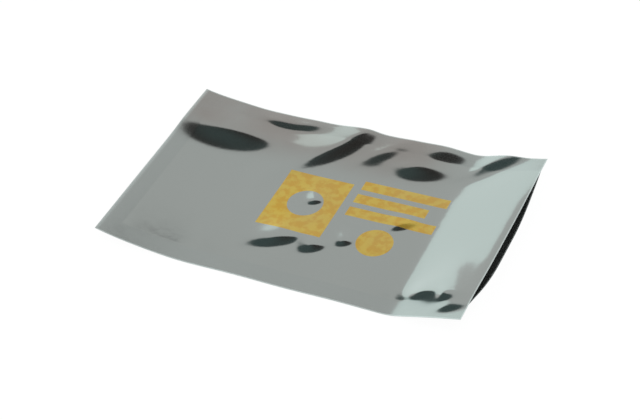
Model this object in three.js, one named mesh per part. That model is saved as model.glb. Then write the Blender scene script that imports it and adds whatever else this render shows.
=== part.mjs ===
// An open-top static shielding bag, three by five inches, lying empty on a table.
// Two plies of thin metallised film are heat-sealed together along both long sides and one
// short end, which makes one piece. The other short end is the mouth, whose lips stand apart.
// Millimetres, +Z up. X runs from the closed end to the mouth, Y from the near side to the far
// side, and the origin is on the table under the middle of the bag.
import * as THREE from "three";
import { mergeGeometries, mergeVertices } from "three/addons/utils/BufferGeometryUtils.js";

const { clamp, degToRad, lerp } = THREE.MathUtils;

// The bag laid flat.
const BAG_LENGTH = 127;
const BAG_WIDTH = 76.2;
const FILM = 0.08;
const SIDE_SEAL = 6.4;
const END_SEAL = 6.4;

// The closed end curls up off the table, as film does that was wound on a roll.
const CLOSED_CURL_RISE = 5;
const CLOSED_CURL_REACH = 34;

// The mouth end bends up along a line and runs straight from there to the lips. Each bend's
// start is measured back from the lips, and each slope is the rise over the run.
const SEAL_BEND = 27;
const SEAL_SLOPE = 0.26;
const UPPER_BEND = 28;
const UPPER_SLOPE = 0.2;
const BEND_SPAN = 6;

// The upper lip eases to a gentler slope at the very end, and the lower lip hardly lifts.
const LIP_SLOPE = 0.07;
const LIP_RUN = 4;
const LOWER_LIP_LIFT = 0.2;
const LOWER_LIP_REACH = 30;

// The plies stand this far apart in the middle of the pocket.
const POCKET_GAP = 0.9;

// How far in from each seal, and from the corners of the mouth, the plies part fully.
const NEAR_SWELL = 26;
const FAR_SWELL = 18;
const END_SWELL = 22;
const LIP_SWELL = 26;

// The sealed bands clear the table and run in slow waves.
const SEAL_CLEARANCE = 0.2;
const WAVE_PITCH = 34;
const WAVE_HEIGHT = 0.25;

// The film is gathered into short ridges, mostly beside the far seal. A whole pucker runs this
// far either way along its crest and spreads this far down its near flank. Its far flank is
// gentler by a ratio, and its height is its slope times its spread.
const PUCKER_RUN = 10;
const PUCKER_SPREAD = 5;
const PUCKER_SLOPE = 0.28;
const FAR_FLANK_RATIO = 3;

// The middle of each crest as shares of the bag's length and width, its run and spread as shares
// of a whole pucker's, and the lean of the crest towards the far seal in degrees.
const PUCKERS = [
  { along: 0.157, across: 0.814, run: 1.7, spread: 1.26, lean: 6 },
  { along: 0.248, across: 0.951, run: 0.7, spread: 0.56, lean: -4 },
  { along: 0.331, across: 0.971, run: 0.8, spread: 0.64, lean: 10 },
  { along: 0.445, across: 0.879, run: 1.6, spread: 1, lean: 50 },
  { along: 0.488, across: 0.984, run: 0.7, spread: 0.6, lean: 50 },
  { along: 0.57, across: 0.925, run: 1.3, spread: 1.14, lean: 44 },
  { along: 0.677, across: 0.86, run: 1.1, spread: 1.12, lean: 10 },
  { along: 0.724, across: 0.98, run: 0.8, spread: 0.88, lean: 15 },
  { along: 0.831, across: 0.932, run: 0.9, spread: 0.88, lean: 48 },
  { along: 0.898, across: 1.01, run: 0.8, spread: 0.76, lean: 35 },
  { along: 0.913, across: 0.151, run: 0.9, spread: 0.88, lean: 4 },
  { along: 0.437, across: 0.249, run: 0.7, spread: 0.46, lean: 28 },
];

// How finely the film is divided, and the grading that narrows the strips towards the far side.
const CELLS_ALONG = 48;
const CELLS_ACROSS = 24;
const CELLS_IN_SEAL = 2;
const GRADING = 0.35;

const pocketWidth = BAG_WIDTH - 2 * SIDE_SEAL;
const farWeld = SIDE_SEAL + pocketWidth;

// Places on the film are given as along, from the closed end, and across, from the near side.

// How near a place is to one end's edge: 0 at the reach and beyond, 1 at the edge itself.
const nearClosedEnd = (along, reach) => clamp(1 - along / reach, 0, 1);
const nearMouth = (along, reach) => clamp(1 - (BAG_LENGTH - along) / reach, 0, 1);

const closedCurl = (along) => CLOSED_CURL_RISE * nearClosedEnd(along, CLOSED_CURL_REACH) ** 2;

// The rise towards the mouth at a slope of 1: a soft bend that starts so far back from the lips,
// then straight.
function bentUp(along, start) {
  const past = Math.max(along - (BAG_LENGTH - start), 0);
  return past < BEND_SPAN ? past ** 2 / (2 * BEND_SPAN) : past - BEND_SPAN / 2;
}

// How far the film has swollen out of a seal: 0 on the weld line, 1 once clear of it.
const swell = (distance, reach) => Math.sin((Math.PI / 2) * clamp(distance / reach, 0, 1));

function fullness(along, across) {
  const atLip = nearMouth(along, UPPER_BEND) ** 2;
  const fromNear = swell(across - SIDE_SEAL, lerp(NEAR_SWELL, LIP_SWELL, atLip));
  const fromFar = swell(farWeld - across, lerp(FAR_SWELL, LIP_SWELL, atLip));
  return fromNear * fromFar * swell(along - END_SEAL, END_SWELL);
}

// Height of the plane where the two plies are fused.
function weld(along) {
  const ripple = (WAVE_HEIGHT * (1 - Math.cos((2 * Math.PI * along) / WAVE_PITCH))) / 2;
  return SEAL_CLEARANCE + FILM + ripple + closedCurl(along) + SEAL_SLOPE * bentUp(along, SEAL_BEND);
}

// Height of the lower ply's underside down the middle of the bag.
const bed = (along) => closedCurl(along) + LOWER_LIP_LIFT * nearMouth(along, LOWER_LIP_REACH) ** 2;

// Height of the upper ply's top down the middle of the bag.
function roof(along) {
  const eased = (((UPPER_SLOPE - LIP_SLOPE) * LIP_RUN) / 2) * nearMouth(along, LIP_RUN) ** 2;
  return bed(along) + 2 * FILM + POCKET_GAP + UPPER_SLOPE * bentUp(along, UPPER_BEND) - eased;
}

// One pucker's height, measured along its crest and down the flank on either side.
function pucker(shape, along, across) {
  const fromAlong = along - shape.along * BAG_LENGTH;
  const fromAcross = across - shape.across * BAG_WIDTH;
  const lean = degToRad(shape.lean);
  const onCrest = fromAlong * Math.cos(lean) + fromAcross * Math.sin(lean);
  const offCrest = fromAcross * Math.cos(lean) - fromAlong * Math.sin(lean);
  const spread = PUCKER_SPREAD * shape.spread;
  const flank = offCrest > 0 ? offCrest / FAR_FLANK_RATIO : offCrest;
  const fall = (onCrest / (PUCKER_RUN * shape.run)) ** 2 + (flank / spread) ** 2;
  return PUCKER_SLOPE * spread * Math.exp(-fall);
}

const puckers = (along, across) =>
  PUCKERS.reduce((sum, shape) => sum + pucker(shape, along, across), 0);

// The four skins of the film, each a height over the flat bag. In the seals the ceiling and the
// floor of the pocket are both the weld.
const top = (along, across) =>
  lerp(weld(along) + FILM, roof(along), fullness(along, across)) + puckers(along, across);
const underside = (along, across) =>
  lerp(weld(along) + puckers(along, across) - FILM, bed(along), fullness(along, across));
const ceiling = (along, across) => top(along, across) - FILM;
const floor = (along, across) => underside(along, across) + FILM;

// Bending up draws an end of the bag in, so that the film keeps its flat length.
function drawnIn(along) {
  const closed = nearClosedEnd(along, CLOSED_CURL_REACH) ** 3;
  const closedPull = (2 * CLOSED_CURL_RISE ** 2 * closed) / (3 * CLOSED_CURL_REACH);
  const past = Math.max(along - (BAG_LENGTH - SEAL_BEND), 0);
  const inBend = past ** 3 / (3 * BEND_SPAN ** 2);
  const beyondBend = past - (2 * BEND_SPAN) / 3;
  const mouthPull = (SEAL_SLOPE ** 2 / 2) * (past < BEND_SPAN ? inBend : beyondBend);
  return along + closedPull - mouthPull;
}

const place = ([along, across], height) => [drawnIn(along), across - BAG_WIDTH / 2, height(along, across)];

function stations(from, to, cells, grading = 0) {
  return Array.from({ length: cells + 1 }, (_, i) => {
    const t = i / cells;
    return lerp(from, to, t + grading * t * (1 - t));
  });
}

// Runs of stations laid end to end, each starting where the last one stopped.
const join = (...runs) => runs.flatMap((run, i) => (i ? run.slice(1) : run));

// A sheet of triangles through rows of points. It faces the side from which the rows run
// upwards while the points in each row run to the right.
function sheet(rows) {
  const wide = rows[0].length;
  const faces = [];
  for (let j = 0; j < rows.length - 1; j++) {
    for (let i = 0; i < wide - 1; i++) {
      const a = j * wide + i;
      faces.push(a, a + 1, a + wide + 1, a, a + wide + 1, a + wide);
    }
  }
  const geometry = new THREE.BufferGeometry();
  geometry.setAttribute("position", new THREE.Float32BufferAttribute(rows.flat(2), 3));
  geometry.setIndex(faces);
  return geometry;
}

function skin(alongs, acrosses, height, facesUp) {
  const rows = acrosses.map((across) => alongs.map((along) => place([along, across], height)));
  return sheet(facesUp ? rows : rows.reverse());
}

// The cut edges of both plies along one side of the bag.
function cutEdges(line) {
  const row = (height) => line.map((spot) => place(spot, height));
  return [sheet([row(ceiling), row(top)]), sheet([row(underside), row(floor)])];
}

function filmBag() {
  const pocketAlong = stations(END_SEAL, BAG_LENGTH, CELLS_ALONG);
  const pocketAcross = stations(SIDE_SEAL, farWeld, CELLS_ACROSS, GRADING);
  const alongs = join(stations(0, END_SEAL, CELLS_IN_SEAL), pocketAlong);
  const acrosses = join(
    stations(0, SIDE_SEAL, CELLS_IN_SEAL),
    pocketAcross,
    stations(farWeld, BAG_WIDTH, CELLS_IN_SEAL),
  );
  const nearEdge = alongs.map((along) => [along, 0]);
  const mouthEdge = acrosses.map((across) => [BAG_LENGTH, across]);
  const farEdge = alongs.map((along) => [along, BAG_WIDTH]).reverse();
  const closedEdge = acrosses.map((across) => [0, across]).reverse();
  const shell = mergeVertices(
    mergeGeometries([
      skin(alongs, acrosses, top, true),
      skin(alongs, acrosses, underside, false),
      skin(pocketAlong, pocketAcross, ceiling, false),
      skin(pocketAlong, pocketAcross, floor, true),
      ...[nearEdge, mouthEdge, farEdge, closedEdge].flatMap(cutEdges),
    ]),
    FILM / 100,
  );
  shell.computeBoundingBox();
  const middle = shell.boundingBox.getCenter(new THREE.Vector3());
  shell.translate(-middle.x, -middle.y, 0);
  shell.computeVertexNormals();
  return shell;
}

const metallisedFilm = new THREE.MeshStandardMaterial({
  color: 0xa3a6a4,
  roughness: 0.24,
  metalness: 0.9,
});

const bag = new THREE.Mesh(filmBag(), metallisedFilm);
bag.name = "shielding_bag";

const part = new THREE.Group();
part.add(bag);

export default part;
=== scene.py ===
# %% [markdown]
# # A static shielding bag
#
# The object is an empty pouch of smoky metallised plastic film, three by five inches, lying on a
# white table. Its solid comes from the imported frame. Here the bag gets its looks: a finer skin
# with the film's small wrinkles, the heat-sealed bands, a printed field and a glossy finish.
# Everything stays in the frame's own axes: +X runs to the open mouth, +Y away from the camera,
# +Z up, with the origin on the table under the middle of the bag.

# %% Load the frame
import math

import bpy
import numpy as np
from mathutils import Matrix, Vector


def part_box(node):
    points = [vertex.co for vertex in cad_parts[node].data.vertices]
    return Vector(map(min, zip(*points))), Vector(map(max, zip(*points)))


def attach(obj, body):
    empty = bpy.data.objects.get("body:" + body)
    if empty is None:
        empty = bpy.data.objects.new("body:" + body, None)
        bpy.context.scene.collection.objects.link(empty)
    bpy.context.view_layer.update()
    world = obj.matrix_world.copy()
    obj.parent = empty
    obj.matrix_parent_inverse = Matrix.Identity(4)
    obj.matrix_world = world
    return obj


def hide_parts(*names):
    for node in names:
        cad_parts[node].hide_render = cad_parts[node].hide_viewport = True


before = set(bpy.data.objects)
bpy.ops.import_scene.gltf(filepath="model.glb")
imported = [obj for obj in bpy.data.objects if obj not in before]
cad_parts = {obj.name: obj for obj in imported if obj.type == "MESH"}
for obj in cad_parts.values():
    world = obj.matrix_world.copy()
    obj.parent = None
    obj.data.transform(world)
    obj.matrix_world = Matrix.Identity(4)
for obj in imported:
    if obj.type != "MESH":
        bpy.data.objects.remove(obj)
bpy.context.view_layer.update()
NODE = "shielding_bag"

# %% [markdown]
# ## How the bag lies
#
# A bag like this is two flat plies, welded together round three sides. Film is stiff for its
# thickness and was wound on a roll, so it doesn't lie flat: both ends curl up, and the plies
# part in the middle and gape at the mouth. A cloth simulation would let it go limp. The shape is
# therefore written as heights over the flat bag, the same ones that the solid is made with.
# Places on the film are given as along, from the closed end, and across, from the near side.
# These sizes are in millimetres, and MM turns them into metres.

# %% The flat bag and its curl
MM = 0.001
BAG_LENGTH = 127.0
BAG_WIDTH = 76.2
FILM = 0.08
SEAL = 6.4
FAR_WELD = BAG_WIDTH - SEAL

CLOSED_CURL_RISE, CLOSED_CURL_REACH = 5.0, 34.0
UPPER_BEND, UPPER_SLOPE = 28.0, 0.2
SEAL_BEND, SEAL_SLOPE = 27.0, 0.26
BEND_SPAN = 6.0
LIP_SLOPE, LIP_RUN = 0.07, 4.0
LOWER_LIP_LIFT, LOWER_LIP_REACH = 0.2, 30.0
POCKET_GAP = 0.9
NEAR_SWELL, FAR_SWELL, END_SWELL, LIP_SWELL = 26.0, 18.0, 22.0, 26.0
SEAL_CLEARANCE = 0.2
WAVE_PITCH, WAVE_HEIGHT = 34.0, 0.25


def blend(low, high, share):
    return low + (high - low) * share


def near_closed_end(along, reach):
    """1 at the closed end's edge, 0 at the reach and beyond."""
    return np.clip(1 - along / reach, 0, 1)


def near_mouth(along, reach):
    """1 at the lips, 0 at the reach and beyond."""
    return np.clip(1 - (BAG_LENGTH - along) / reach, 0, 1)


def closed_curl(along):
    """Rise of the closed end, which steepens towards its edge."""
    return CLOSED_CURL_RISE * near_closed_end(along, CLOSED_CURL_REACH) ** 2


def bent_up(along, start):
    """Rise at a slope of 1: a soft bend that starts so far back from the lips, then straight."""
    past = np.maximum(along - (BAG_LENGTH - start), 0)
    return np.where(past < BEND_SPAN, past**2 / (2 * BEND_SPAN), past - BEND_SPAN / 2)


def drawn_in(along):
    """Bending up draws an end of the bag in, so that the film keeps its flat length."""
    closed = near_closed_end(along, CLOSED_CURL_REACH) ** 3
    closed_pull = 2 * CLOSED_CURL_RISE**2 * closed / (3 * CLOSED_CURL_REACH)
    past = np.maximum(along - (BAG_LENGTH - SEAL_BEND), 0)
    inside = np.where(past < BEND_SPAN, past**3 / (3 * BEND_SPAN**2), past - 2 * BEND_SPAN / 3)
    return along + closed_pull - SEAL_SLOPE**2 / 2 * inside


print("drawn in, mm:", round(BAG_LENGTH - float(drawn_in(BAG_LENGTH) - drawn_in(0.0)), 2))

# %% [markdown]
# ## Where the plies part
#
# Along the welds both plies lie on one plane. Away from a weld the upper ply rises and the lower
# ply settles onto the table. One number from 0 on the weld to 1 in the open pocket says how far
# that has gone, and both plies are blended by it.

# %% The weld, the bed and the roof


def swell(distance, reach):
    """How far the film has swollen out of a seal: 0 on the weld line, 1 once clear of it."""
    return np.sin(np.pi / 2 * np.clip(distance / reach, 0, 1))


def fullness(along, across):
    """How far the plies have parted: 0 on the welds, 1 in the open pocket."""
    at_lip = near_mouth(along, UPPER_BEND) ** 2
    from_near = swell(across - SEAL, blend(NEAR_SWELL, LIP_SWELL, at_lip))
    from_far = swell(FAR_WELD - across, blend(FAR_SWELL, LIP_SWELL, at_lip))
    return from_near * from_far * swell(along - SEAL, END_SWELL)


def weld(along):
    """Height of the plane where the two plies are fused, which runs in slow waves."""
    ripple = WAVE_HEIGHT * (1 - np.cos(2 * np.pi * along / WAVE_PITCH)) / 2
    return SEAL_CLEARANCE + FILM + ripple + closed_curl(along) + SEAL_SLOPE * bent_up(along, SEAL_BEND)


def bed(along):
    """Height of the lower ply's underside down the middle of the bag."""
    return closed_curl(along) + LOWER_LIP_LIFT * near_mouth(along, LOWER_LIP_REACH) ** 2


def roof(along):
    """Height of the upper ply's top down the middle of the bag. Its lip eases off the slope."""
    eased = (UPPER_SLOPE - LIP_SLOPE) * LIP_RUN / 2 * near_mouth(along, LIP_RUN) ** 2
    return bed(along) + 2 * FILM + POCKET_GAP + UPPER_SLOPE * bent_up(along, UPPER_BEND) - eased


print("lips apart in the middle, mm:", round(float(roof(BAG_LENGTH) - bed(BAG_LENGTH) - 2 * FILM), 2))

# %% [markdown]
# ## Puckers
#
# Heat shrinks the film a little in the seal, and the free film beside it gathers into short
# ridges that lean across the bag. They matter more than their height of about a millimetre: on
# mirror-like film the flank that faces the viewer shows the dark ceiling and makes a dark
# blotch. Each one is a soft ridge, steep on its near side and gentle on the far side. The solid
# has the larger ones, and the last seven are only here.

# %% The puckers, large and small
PUCKER_RUN = 10.0
PUCKER_SPREAD = 5.0
PUCKER_SLOPE = 0.28
FAR_FLANK_RATIO = 3.0

# The middle of each crest as shares of the bag's length and width, its run along the crest and
# its spread down the near flank as shares of a whole pucker's, and its lean in degrees.
PUCKERS = [
    (0.157, 0.814, 1.7, 1.26, 6),
    (0.248, 0.951, 0.7, 0.56, -4),
    (0.331, 0.971, 0.8, 0.64, 10),
    (0.445, 0.879, 1.6, 1.0, 50),
    (0.488, 0.984, 0.7, 0.6, 50),
    (0.57, 0.925, 1.3, 1.14, 44),
    (0.677, 0.86, 1.1, 1.12, 10),
    (0.724, 0.98, 0.8, 0.88, 15),
    (0.831, 0.932, 0.9, 0.88, 48),
    (0.898, 1.01, 0.8, 0.76, 35),
    (0.913, 0.151, 0.9, 0.88, 4),
    (0.437, 0.249, 0.7, 0.46, 28),
    (0.535, 0.256, 0.36, 0.36, 28),
    (0.606, 0.322, 0.26, 0.28, 28),
    (0.724, 0.499, 0.45, 0.36, 40),
    (0.472, 0.512, 0.28, 0.26, 30),
    (0.857, 0.128, 0.34, 0.3, 10),
    (0.955, 0.07, 0.4, 0.34, 20),
    (0.925, 0.112, 0.16, 0.2, 20),
]


def puckers(along, across):
    """Height that the puckers add, all together."""
    height = np.zeros(np.broadcast(along, across).shape)
    for share_along, share_across, run, spread, lean in PUCKERS:
        from_along = along - share_along * BAG_LENGTH
        from_across = across - share_across * BAG_WIDTH
        tilt = math.radians(lean)
        on_crest = from_along * math.cos(tilt) + from_across * math.sin(tilt)
        off_crest = from_across * math.cos(tilt) - from_along * math.sin(tilt)
        flank = np.where(off_crest > 0, off_crest / FAR_FLANK_RATIO, off_crest)
        fall = (on_crest / (PUCKER_RUN * run)) ** 2 + (flank / (PUCKER_SPREAD * spread)) ** 2
        height += PUCKER_SLOPE * PUCKER_SPREAD * spread * np.exp(-fall)
    return height


print("puckers:", len(PUCKERS))

# %% [markdown]
# ## The skins of the film
#
# The film is thin but real: the bag is one closed shell with a top, an underside, and the
# pocket's ceiling and floor inside. Each skin is a grid of points with the same stations, so that
# the skins meet exactly at the cut edges and along the welds. Even, square cells keep the
# reflections smooth, which a mesh cut into slivers would not.

# %% Heights of the four skins


def top(along, across):
    return blend(weld(along) + FILM, roof(along), fullness(along, across)) + puckers(along, across)


def underside(along, across):
    fused = weld(along) + puckers(along, across) - FILM
    return blend(fused, bed(along), fullness(along, across))


def ceiling(along, across):
    return top(along, across) - FILM


def floor(along, across):
    return underside(along, across) + FILM


print("top in the middle, mm:", round(float(top(BAG_LENGTH / 2, BAG_WIDTH / 2)), 2))

# %% [markdown]
# ## Grids of faces
#
# A skin is a grid of quads and a cut edge is one row of them. Both get their points from the same
# function, so they meet point for point.

# %% One skin and one cut edge
CELLS_ALONG, CELLS_ACROSS = 200, 116
CELLS_IN_SEAL = 10


def points_over(along, across, height):
    """Points in metres over places on the flat film, with the bag's ends drawn in."""
    return np.stack([drawn_in(along), across - BAG_WIDTH / 2, height(along, across)], -1) * MM


def skin(alongs, acrosses, height, faces_up):
    """Points, flat places and quads of one skin over a grid of stations."""
    along, across = np.meshgrid(alongs, acrosses)
    spots = points_over(along, across, height)
    flat = np.stack([along / BAG_LENGTH, across / BAG_WIDTH], -1)
    index = np.arange(along.size).reshape(along.shape)
    a, b, c, d = index[:-1, :-1], index[:-1, 1:], index[1:, 1:], index[1:, :-1]
    corners = (a, b, c, d) if faces_up else (d, c, b, a)
    quads = np.stack(corners, -1).reshape(-1, 4)
    return spots.reshape(-1, 3), flat.reshape(-1, 2), quads


def cut_edge(line, low, high):
    """The cut edge of one ply along a run of places, with the outside on the run's right."""
    along, across = line
    rows = [points_over(along, across, height) for height in (low, high)]
    flat = np.stack([along / BAG_LENGTH, across / BAG_WIDTH], -1)
    count = len(along)
    start = np.arange(count - 1)
    quads = np.stack([start, start + 1, start + 1 + count, start + count], -1)
    return np.concatenate(rows), np.concatenate([flat, flat]), quads


print("cells along and across:", CELLS_ALONG, CELLS_ACROSS)

# %% [markdown]
# ## Joining the shell
#
# The four skins and the cut edges are put into one mesh and welded where their points coincide.
# The printed face keeps a material slot of its own. The flat place of each point is stored as a
# UV map, so that print and seals can be drawn in the bag's own length and width.

# %% Build the bag
FLAT_MAP = "flat"
SHARP_EDGE = math.radians(50)
pocket_along = np.linspace(SEAL, BAG_LENGTH, CELLS_ALONG - CELLS_IN_SEAL + 1)
pocket_across = np.linspace(SEAL, FAR_WELD, CELLS_ACROSS - 2 * CELLS_IN_SEAL + 1)
seal_cells = np.linspace(0, SEAL, CELLS_IN_SEAL + 1)
alongs = np.concatenate([seal_cells[:-1], pocket_along])
acrosses = np.concatenate([seal_cells[:-1], pocket_across, FAR_WELD + seal_cells[1:]])
rims = [
    (alongs, np.zeros_like(alongs)),
    (np.full_like(acrosses, BAG_LENGTH), acrosses),
    (alongs[::-1], np.full_like(alongs, BAG_WIDTH)),
    (np.zeros_like(acrosses), acrosses[::-1]),
]
PRINTED, PLAIN = 0, 1
sheets = [
    (PRINTED, skin(alongs, acrosses, top, True)),
    (PLAIN, skin(alongs, acrosses, underside, False)),
    (PLAIN, skin(pocket_along, pocket_across, ceiling, False)),
    (PLAIN, skin(pocket_along, pocket_across, floor, True)),
]
for rim in rims:
    sheets.append((PLAIN, cut_edge(rim, ceiling, top)))
    sheets.append((PLAIN, cut_edge(rim, underside, floor)))


def joined(sheets):
    """One set of points, flat places, quads and material slots out of several sheets."""
    points, flats, quads, slots = [], [], [], []
    offset = 0
    for slot, (spots, flat, faces) in sheets:
        points.append(spots)
        flats.append(flat)
        quads.append(faces + offset)
        slots.append(np.full(len(faces), slot))
        offset += len(spots)
    return (np.concatenate(part) for part in (points, flats, quads, slots))


points, flats, quads, slots = joined(sheets)
weld_grid = FILM * MM / 100
keys = np.round(points / weld_grid).astype(np.int64)
_, first, welded = np.unique(keys, axis=0, return_index=True, return_inverse=True)
mesh = bpy.data.meshes.new("bag")
mesh.from_pydata(points[first], [], welded.ravel()[quads].tolist())
flat_map = mesh.uv_layers.new(name=FLAT_MAP)
flat_map.uv.foreach_set("vector", flats[quads.ravel()].astype(np.float32).ravel())
mesh.polygons.foreach_set("material_index", slots.astype(np.int32))
mesh.polygons.foreach_set("use_smooth", np.ones(len(slots), dtype=bool))
low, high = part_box(NODE)
middle = (points[:, 0].min() + points[:, 0].max()) / 2
mesh.transform(Matrix.Translation(((low.x + high.x) / 2 - middle, (low.y + high.y) / 2, low.z)))
mesh.set_sharp_from_angle(angle=SHARP_EDGE)
mesh.update()
bag = bpy.data.objects.new("film_bag", mesh)
bpy.context.scene.collection.objects.link(bag)
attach(bag, "root")
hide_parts(NODE)
closed = len(mesh.loops) == 2 * len(mesh.edges)
print("bag:", len(mesh.vertices), "points,", 2 * len(mesh.polygons), "triangles, closed:", closed)

# %% [markdown]
# ## Writing materials as expressions
#
# A finish is a little graph of nodes. Written node by node it's long and hard to read, so one
# small class wraps a socket. Python's arithmetic on it adds Math nodes, and its add method makes
# any other node from its type, its settings and what goes into its sockets.

# %% The wire class
# The Mix node's sockets for colours, by number, as other kinds of value share their names.
MIX_SHARE, MIX_UNDER, MIX_OVER, MIX_RESULT = 0, 6, 7, 2


class Wire:
    """An output socket, or a bare tree to start from, that Python can do arithmetic with."""

    def __init__(self, tree, socket=None):
        self.tree = tree
        self.socket = socket

    def add(self, kind, settings=None, inputs=None, output=0):
        """Makes a node: its settings first, then the values or wires of its sockets."""
        node = self.tree.nodes.new(kind)
        for name, value in (settings or {}).items():
            setattr(node, name, value)
        for name, value in (inputs or {}).items():
            if isinstance(value, Wire):
                self.tree.links.new(value.socket, node.inputs[name])
            else:
                node.inputs[name].default_value = value
        return Wire(self.tree, node.outputs[output]) if len(node.outputs) else None

    def math(self, operation, *values):
        return self.add("ShaderNodeMath", {"operation": operation}, dict(enumerate(values)))

    def __add__(self, other):
        return self.math("ADD", self, other)

    def __radd__(self, other):
        return self.math("ADD", other, self)

    def __sub__(self, other):
        return self.math("SUBTRACT", self, other)

    def __rsub__(self, other):
        return self.math("SUBTRACT", other, self)

    def __mul__(self, other):
        return self.math("MULTIPLY", self, other)

    def __rmul__(self, other):
        return self.math("MULTIPLY", other, self)

    def __abs__(self):
        return self.math("ABSOLUTE", self)

    def root(self):
        return self.math("SQRT", self)

    def dot(self, vector):
        """How far this direction goes along another."""
        made = {"operation": "DOT_PRODUCT"}
        return self.add("ShaderNodeVectorMath", made, {0: self, 1: vector}, output="Value")

    def least(self, other):
        return self.math("MINIMUM", self, other)

    def most(self, other):
        return self.math("MAXIMUM", self, other)

    def falls(self, start, end):
        """1 below start, 0 above end, and smooth in between."""
        limits = {"Value": self, "From Min": start, "From Max": end, "To Min": 1.0, "To Max": 0.0}
        return self.add("ShaderNodeMapRange", {"interpolation_type": "SMOOTHSTEP"}, limits)

    def colour(self, under, over):
        """The colour under where this mask is 0, and the colour over where it is 1."""
        sockets = {MIX_SHARE: self, MIX_UNDER: under, MIX_OVER: over}
        return self.add("ShaderNodeMix", {"data_type": "RGBA"}, sockets, output=MIX_RESULT)


def blank_material(name):
    """A material without nodes, and its tree to start from."""
    material = bpy.data.materials.new(name)
    material.use_nodes = True
    material.node_tree.nodes.clear()
    return material, Wire(material.node_tree)


print("wire class ready")

# %% [markdown]
# ## The bag's own ruler
#
# The UV map gives each point's flat place as shares of the length and width. Turned back into
# millimetres it is a ruler on the film, in which a seal is 6.4 and a printed bar is so many
# millimetres long, whatever the wrinkles do.

# %% Places and simple shapes on the film
INK_EDGE = 0.12


def ruler(start):
    """Along and across in millimetres, as two wires."""
    flat = start.add("ShaderNodeUVMap", {"uv_map": FLAT_MAP})
    along = start.add("ShaderNodeSeparateXYZ", inputs={"Vector": flat}, output="X")
    across = start.add("ShaderNodeSeparateXYZ", inputs={"Vector": flat}, output="Y")
    return along * BAG_LENGTH, across * BAG_WIDTH


def bar(along, across, centre, size):
    """A plain oblong: 1 inside, 0 outside."""
    in_length = (abs(along - centre[0]) - size[0] / 2).falls(-INK_EDGE, INK_EDGE)
    in_width = (abs(across - centre[1]) - size[1] / 2).falls(-INK_EDGE, INK_EDGE)
    return in_length * in_width


def disc(along, across, centre, radius):
    """A plain round spot: 1 inside, 0 outside."""
    off_along, off_across = along - centre[0], across - centre[1]
    distance = (off_along * off_along + off_across * off_across).root()
    return (distance - radius).falls(-INK_EDGE, INK_EDGE)


print("soft edge of the ink, mm:", 2 * INK_EDGE)

# %% [markdown]
# ## The printed field
#
# The film carries a print in yellow-orange ink on its upper ply. It is drawn here as plain
# fields of colour: a block with a round hole, a few bars and a spot. They say "printed" from a
# step away and say nothing else. Ink is duller than the metal, and speckled in two oranges.

# %% The ink's shapes
BLOCK_CENTRE, BLOCK_SIZE, BLOCK_HOLE = (57.5, 37.0), (23.0, 27.0), 6.0
BAR_LENGTHS = (30.0, 25.0, 30.0)
BARS_START, FIRST_BAR, BAR_PITCH, BAR_WIDTH = 72.0, 51.0, 6.4, 4.2
SPOT_CENTRE, SPOT_RADIUS = (86.5, 27.0), 6.0


def ink_mask(along, across):
    block = bar(along, across, BLOCK_CENTRE, BLOCK_SIZE)
    mask = block * (1 - disc(along, across, BLOCK_CENTRE, BLOCK_HOLE))
    for row, length in enumerate(BAR_LENGTHS):
        centre = (BARS_START + length / 2, FIRST_BAR - row * BAR_PITCH)
        mask = mask.most(bar(along, across, centre, (length, BAR_WIDTH)))
    return mask.most(disc(along, across, SPOT_CENTRE, SPOT_RADIUS))


print("printed bars:", len(BAR_LENGTHS))

# %% [markdown]
# ## The metallised film
#
# The film is polyester with a metal layer so thin that it looks smoky, not bright. It reflects
# about a third of the light, sharply. Handling leaves it faintly crinkled, and the hot jaws that
# seal it leave bands a little duller than the rest. Beside the far seal the grey is warmer. The
# cut edges get a painted highlight, a pale line in their colour, which is widest along the closed end.

# %% The film's finish
FILM_COLOUR = (0.36, 0.38, 0.368, 1)
FAR_COLOUR = (0.31, 0.292, 0.277, 1)
SEAL_COLOUR = (0.35, 0.372, 0.362, 1)
# The pale colour of the painted highlight along the cut edges.
EDGE_HIGHLIGHT_COLOUR = (0.66, 0.72, 0.71, 1)
INK_COLOUR = (0.62, 0.36, 0.03, 1)
PALE_INK_COLOUR = (0.66, 0.46, 0.06, 1)

# The warmer grey fades out between these distances from the far side, and between these from
# the closed end. Its share is so many times the clouds.
FAR_TINT_WIDTHS, FAR_TINT_ENDS, FAR_TINT_CLOUDS = (10.4, 26.0), (84.0, 100.0), 1.6

# Widths of the painted edge highlight, and half of the blur where a seal stops.
CUT_EDGE, CLOSED_EDGE, SEAL_BLUR = 0.5, 1.6, 0.2

# How far the closed end counts as a cut edge in the painted highlight, and how pale the painted
# highlight is.
CLOSED_EDGE_SHARE, EDGE_HIGHLIGHT_SHARE = 0.8, 0.7

# Noise on the film, by how often it changes in a millimetre.
CLOUD_SCALE, SPECKLE_SCALE, CRINKLE_SCALE = 0.045, 0.35, 1 / 7
CRINKLE_HEIGHT = 0.03

# The film's roughness, and what clouds, seals, cut edges and ink add to it.
FILM_ROUGHNESS, CLOUD_ROUGHNESS, SEAL_ROUGHNESS = 0.07, 0.05, 0.04
EDGE_ROUGHNESS, INK_ROUGHNESS = 0.15, 0.1

# How metallic the film is, what the painted edge highlight takes off that, and the share that ink
# takes.
FILM_METAL, EDGE_METAL_LOSS, INK_METAL_SHARE = 0.93, 0.3, 0.5

# How well the ink covers: at least so much, and so much more with the clouds.
INK_COVER, INK_CLOUDS = 0.72, 0.36

# The values of the speckle between which one orange turns into the other.
SPECKLE_LIMITS = (0.4, 0.6)


def noise(start, spot, scale, detail):
    """Smooth noise over the film, around a half."""
    inputs = {"Vector": spot, "Scale": scale, "Detail": detail}
    return start.add("ShaderNodeTexNoise", inputs=inputs)


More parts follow.
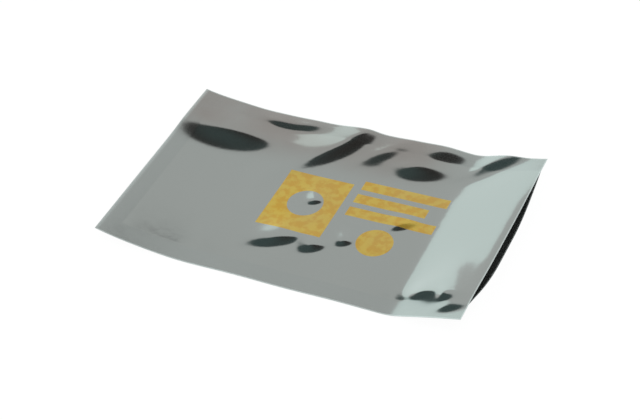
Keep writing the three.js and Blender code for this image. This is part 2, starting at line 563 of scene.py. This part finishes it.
def film_finish(name, printed):
    """The finish of one face of the film, with or without the print."""
    material, start = blank_material(name)
    along, across = ruler(start)
    spot = start.add("ShaderNodeCombineXYZ", inputs={"X": along, "Y": across})
    from_side = across.least(BAG_WIDTH - across)
    from_edge = from_side.least(along).least(BAG_LENGTH - along)
    seal = from_side.least(along).falls(SEAL - SEAL_BLUR, SEAL + SEAL_BLUR)
    # Painted highlight: a pale, duller, less metallic line along the cut edges, widest along the
    # closed end.
    closed_end_highlight = along.falls(0, CLOSED_EDGE) * CLOSED_EDGE_SHARE
    rim = from_edge.falls(CUT_EDGE / 2, CUT_EDGE).most(closed_end_highlight)
    clouds = noise(start, spot, CLOUD_SCALE, 3.0)
    speckle = noise(start, spot, SPECKLE_SCALE, 3.0)
    crinkle = noise(start, spot, CRINKLE_SCALE, 4.0)

    far_side = (BAG_WIDTH - across).falls(*FAR_TINT_WIDTHS) * along.falls(*FAR_TINT_ENDS)
    colour = seal.colour(FILM_COLOUR, SEAL_COLOUR)
    colour = (far_side * clouds * FAR_TINT_CLOUDS).colour(colour, FAR_COLOUR)
    # The painted edge highlight is mixed into the colour here.
    colour = (rim * EDGE_HIGHLIGHT_SHARE).colour(colour, EDGE_HIGHLIGHT_COLOUR)
    roughness = FILM_ROUGHNESS + CLOUD_ROUGHNESS * clouds + SEAL_ROUGHNESS * seal
    roughness = roughness + EDGE_ROUGHNESS * rim
    metal = FILM_METAL - EDGE_METAL_LOSS * rim
    if printed:
        ink = ink_mask(along, across) * (INK_COVER + INK_CLOUDS * clouds)
        oranges = speckle.falls(*SPECKLE_LIMITS).colour(INK_COLOUR, PALE_INK_COLOUR)
        colour = ink.colour(colour, oranges)
        roughness = roughness + INK_ROUGHNESS * ink
        metal = metal * (1 - INK_METAL_SHARE * ink)
    bump = {"Height": crinkle * CRINKLE_HEIGHT, "Distance": MM}
    normal = start.add("ShaderNodeBump", inputs=bump)
    shader = start.add(
        "ShaderNodeBsdfPrincipled",
        inputs={"Base Color": colour, "Roughness": roughness, "Metallic": metal, "Normal": normal},
    )
    start.add("ShaderNodeOutputMaterial", inputs={"Surface": shader})
    return material


bag.data.materials.append(film_finish("printed_film", True))
bag.data.materials.append(film_finish("plain_film", False))
print("finishes:", [material.name for material in bag.data.materials])

# %% [markdown]
# ## The table
#
# The bag lies on a plain white table. To the camera and in reflections it is nearly pure white,
# by a share of its own glow, but it still takes the bag's shadow.

# %% The table top
TABLE_SIZE = 3.0
TABLE_COLOUR = (0.9, 0.9, 0.9, 1)
GLOW_COLOUR = (1, 1, 1, 1)
GLOW_STRENGTH = 1.06
GLOW_SHARE = 0.88


def table_top():
    half = TABLE_SIZE / 2
    plane = bpy.data.meshes.new("table")
    corners = [(-half, -half, 0), (half, -half, 0), (half, half, 0), (-half, half, 0)]
    plane.from_pydata(corners, [], [(0, 1, 2, 3)])
    table = bpy.data.objects.new("table", plane)
    bpy.context.scene.collection.objects.link(table)
    material, start = blank_material("white_table")
    seen = start.add("ShaderNodeLightPath", output="Is Camera Ray")
    glossy = start.add("ShaderNodeLightPath", output="Is Glossy Ray")
    paint = start.add("ShaderNodeBsdfDiffuse", inputs={"Color": TABLE_COLOUR})
    glow = start.add("ShaderNodeEmission", inputs={"Color": GLOW_COLOUR, "Strength": GLOW_STRENGTH})
    share = seen.most(glossy) * GLOW_SHARE
    shader = start.add("ShaderNodeMixShader", inputs={0: share, 1: paint, 2: glow})
    start.add("ShaderNodeOutputMaterial", inputs={"Surface": shader})
    plane.materials.append(material)
    return table


table = table_top()
print("table:", TABLE_SIZE, "m square")

# %% [markdown]
# ## The room
#
# Film as glossy as this looks like what it reflects, so the room is part of its look. The walls
# are white low down and light grey above, where the flat film mirrors them. Two dark round
# patches of ceiling stand high behind the bag and further to its left. The flanks of the puckers
# that lean towards the viewer pick them up.

# %% The walls and the ceiling
WALL = (1.0, 1.0, 1.0, 1)
UPPER_WALL = (0.83, 0.846, 0.837, 1)
CEILING_LEFT = (0.05, 0.09, 0.09, 1)
CEILING_RIGHT = (0.014, 0.01, 0.008, 1)

# How high the white wall turns grey, as the upward share of a direction.
WALL_HEIGHTS = (0.1, 0.7)

# The two patches: azimuth, elevation and radius in degrees. Then half of their soft edge.
HIGH_PATCH = (-38, 68, 16.5)
LEFT_PATCH = (-65, 48, 15.5)
PATCH_EDGE = 1.5

# The high patch changes colour along this azimuth, between these shares of a direction.
COLOUR_AZIMUTH, COLOUR_LIMITS = 60, (-0.12, 0.1)


def direction(azimuth, elevation):
    """The direction of a place in the room. Azimuth 0 is straight ahead, +Y, and 90 is +X."""
    turn, lift = math.radians(azimuth), math.radians(elevation)
    level = math.cos(lift)
    return Vector((math.sin(turn) * level, math.cos(turn) * level, math.sin(lift)))


def round_patch(ray, azimuth, elevation, radius, edge):
    """1 inside a round patch of the room and 0 outside. All its numbers are in degrees."""
    nearness = ray.dot(tuple(direction(azimuth, elevation)))
    outer, inner = math.cos(math.radians(radius + edge)), math.cos(math.radians(radius - edge))
    return 1 - nearness.falls(outer, inner)


world = bpy.data.worlds.new("room")
world.use_nodes = True
world.node_tree.nodes.clear()
bpy.context.scene.world = world
start = Wire(world.node_tree)
ray = start.add("ShaderNodeTexCoord", output="Generated")
height = start.add("ShaderNodeSeparateXYZ", inputs={"Vector": ray}, output="Z")
walls = height.falls(*WALL_HEIGHTS).colour(UPPER_WALL, WALL)
rightwards = ray.dot(tuple(direction(COLOUR_AZIMUTH, 0)))
ceiling_paint = rightwards.falls(*COLOUR_LIMITS).colour(CEILING_RIGHT, CEILING_LEFT)
room = round_patch(ray, *HIGH_PATCH, PATCH_EDGE).colour(walls, ceiling_paint)
room = round_patch(ray, *LEFT_PATCH, PATCH_EDGE).colour(room, CEILING_LEFT)
light = start.add("ShaderNodeBackground", inputs={"Color": room, "Strength": 1.0})
start.add("ShaderNodeOutputWorld", inputs={"Surface": light})
print("nodes of the room:", len(world.node_tree.nodes))

# %% [markdown]
# ## The soft box
#
# One large lamp stands low behind the bag on the left. The bent-up mouth mirrors it as a bright,
# faintly blue-green band.

# %% One area lamp
SOFT_BOX = {
    "azimuth": -48,
    "elevation": 20,
    "distance": 1.2,
    "size": (0.62, 0.69),
    "glow": 0.58,
    "tint": (0.75, 1.0, 0.97),
}


def soft_box(name, azimuth, elevation, distance, size, glow, tint):
    """An area lamp that faces the bag. Its glow is what a mirror would show of it."""
    lamp = bpy.data.lights.new(name, "AREA")
    lamp.shape = "RECTANGLE"
    lamp.size, lamp.size_y = size
    lamp.energy = glow * math.pi * size[0] * size[1]
    lamp.color = tint
    holder = bpy.data.objects.new(name, lamp)
    towards = direction(azimuth, elevation)
    holder.location = towards * distance
    holder.rotation_mode = "QUATERNION"
    holder.rotation_quaternion = towards.to_track_quat("Z", "Y")
    bpy.context.scene.collection.objects.link(holder)
    return holder


soft_box("soft_box", **SOFT_BOX)

# %% [markdown]
# ## The camera
#
# The photograph looks down at the bag from its near side, a little towards the mouth. It holds
# more than this bag, so the same view is taken with a longer lens that fills the frame with it.
# The roll is what a camera gives that was aimed at the middle of the whole picture.

# %% Camera
PHOTO_WIDTH = 640
FOCAL_PIXELS = 1562
AZIMUTH, ELEVATION, ROLL = 30.4, 41.3, -7.7
DISTANCE = 0.5
AIM = Vector((0.0013, -0.0045, 0.003))


def photo_camera():
    """The camera that looks at the bag as the photograph does."""
    lens = bpy.data.cameras.new("camera")
    lens.lens = lens.sensor_width * FOCAL_PIXELS / PHOTO_WIDTH
    camera = bpy.data.objects.new("camera", lens)
    back = direction(180 - AZIMUTH, ELEVATION)
    right = Vector((0, 0, 1)).cross(back).normalized()
    up = back.cross(right)
    upright = Matrix((right, up, back)).transposed().to_4x4()
    roll = Matrix.Rotation(math.radians(ROLL), 4, "Z")
    camera.matrix_world = Matrix.Translation(AIM + back * DISTANCE) @ upright @ roll
    bpy.context.scene.collection.objects.link(camera)
    bpy.context.scene.camera = camera
    return camera


camera = photo_camera()
bpy.context.scene.view_settings.view_transform = "Standard"
print("lens, mm:", round(camera.data.lens, 1))
